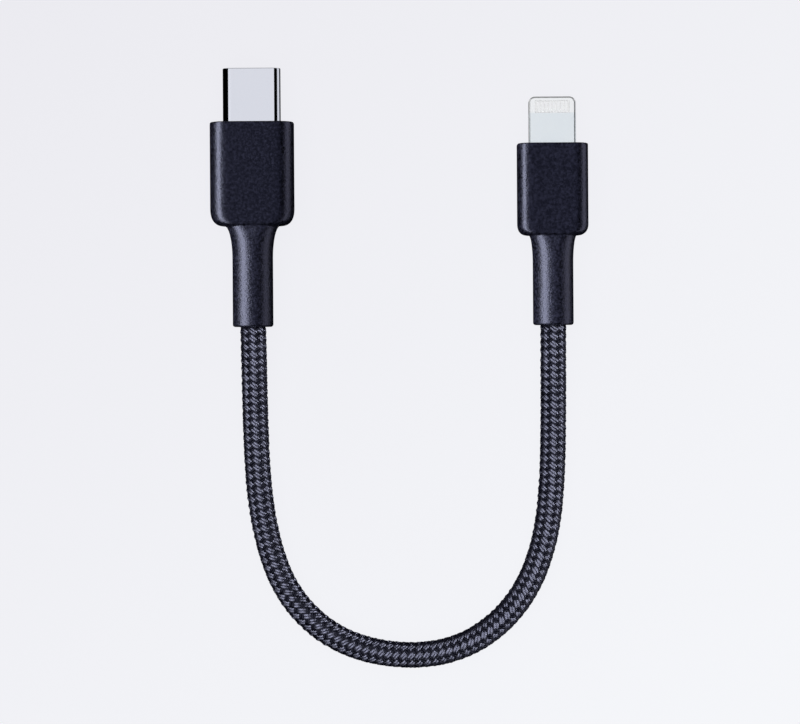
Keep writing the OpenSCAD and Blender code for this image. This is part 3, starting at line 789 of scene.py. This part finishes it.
floor_mesh.materials.append(paper.wear({
    "Base Color": (0.06, 0.06, 0.06, 1),
    "Roughness": 1.0,
    "Specular IOR Level": 0.0,
    "Emission Color": paper.blend(painted_light_falloff, (0.80, 0.795, 0.84), (0.885, 0.895, 0.925)),
    "Emission Strength": 1.0,
}))
floor.visible_glossy = False
floor.visible_diffuse = False
floor.visible_shadow = False

# ---------------------------------------------------------------- Lights
# Soft boxes overhead and all round. Each is kept to one group of pieces, as masks in
# a studio would do it, so that the plugs, cord and metal all have their own shine.
white = (1.0, 1.0, 1.0)
straw = (1.0, 1.0, 0.9)
past_tips = math.pi / 2
past_bend = -math.pi / 2


def lit_group(name, pieces):
    """A collection of pieces that a light is kept to."""
    group = bpy.data.collections.new(name)
    for piece in pieces:
        group.objects.link(piece)
    return group


def soft_box(name, distance, from_angle, to_angle, length, radiance, colour, group, heading=0):
    """A panel seen from the plugs between two angles from the vertical, left negative.

    The angles are measured in the plane that heading, an angle from +X, points along,
    and length is the panel's size across that plane."""
    middle = math.radians((from_angle + to_angle) / 2)
    half = math.radians((to_angle - from_angle) / 2)
    width = 2 * distance * math.tan(half)
    box = bpy.data.objects.new(name, bpy.data.lights.new(name, "AREA"))
    box.data.shape = "RECTANGLE"
    box.data.size = width
    box.data.size_y = length
    box.data.energy = radiance * width * length * math.pi
    box.data.color = colour
    reach = distance * math.sin(middle)
    box.location = (reach * math.cos(heading), reach * math.sin(heading), distance * math.cos(middle))
    box.rotation_euler = (0, middle, heading)
    box.visible_camera = False
    box.light_linking.receiver_collection = group
    scene.collection.objects.link(box)


housings = lit_group("housings", housing_skins)
necks = lit_group("necks", strain_relief_skins)
cord_pieces = lit_group("cord_pieces", braids)
plug_skins = lit_group("plug_skins", housing_skins + strain_relief_skins)
bright_metal = lit_group("bright_metal", [mouth, tab])
tab_alone = lit_group("tab_alone", [tab])
tab_filling = lit_group("tab_filling", [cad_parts["eight_pin_carrier"]])
black_pieces = housing_skins + strain_relief_skins + braids
bare_pieces = lit_group("bare_pieces", [
    piece for piece in scene.collection.all_objects
    if piece.type == "MESH" and piece not in black_pieces])
soft_box("overhead_left", 0.9, -39, -12, 1.8, 0.95, (0.97, 0.985, 1.0), bare_pieces)
soft_box("overhead_right", 0.9, -12, 28, 1.8, 0.89, (0.975, 0.985, 1.0), bare_pieces)
soft_box("right_strip", 0.8, 76, 118, 1.6, 0.8, (0.95, 0.97, 1.0), bright_metal)
soft_box("tab_left_strip", 0.8, -125, -60, 1.6, 0.7, white, tab_alone)
soft_box("front_fill", 0.8, 68, 104, 3.2, 0.45, white, bright_metal, heading=past_tips)
soft_box("back_fill", 0.8, 48, 84, 3.2, 0.6, white, bright_metal, heading=past_bend)
soft_box("tab_fill", 0.8, -30, 30, 0.8, 1.6, white, tab_filling)
soft_box("plug_top", 0.9, -39, 28, 1.8, 0.195, (0.8, 0.82, 1.0), plug_skins)
soft_box("plug_rim", 0.8, 66, 104, 1.6, 0.95, (1.0, 0.97, 0.98), plug_skins)
soft_box("housing_key", 0.8, -73, -50, 1.8, 6.8, straw, housings)
soft_box("neck_key", 0.8, -69, -34, 1.8, 6.2, straw, necks)
soft_box("cord_top", 0.9, -36, 8, 2.4, 7.6, white, cord_pieces)
soft_box("cord_left", 0.8, -76, -62, 1.2, 6.0, white, cord_pieces)
soft_box("cord_right", 0.8, 64, 82, 1.2, 15.0, white, cord_pieces)

room = bpy.data.worlds.new("room")
scene.world = room
room.use_nodes = True
background = room.node_tree.nodes["Background"]
background.inputs["Color"].default_value = (0.9, 0.93, 1.0, 1)
background.inputs["Strength"].default_value = 0.08
room.cycles_visibility.glossy = False
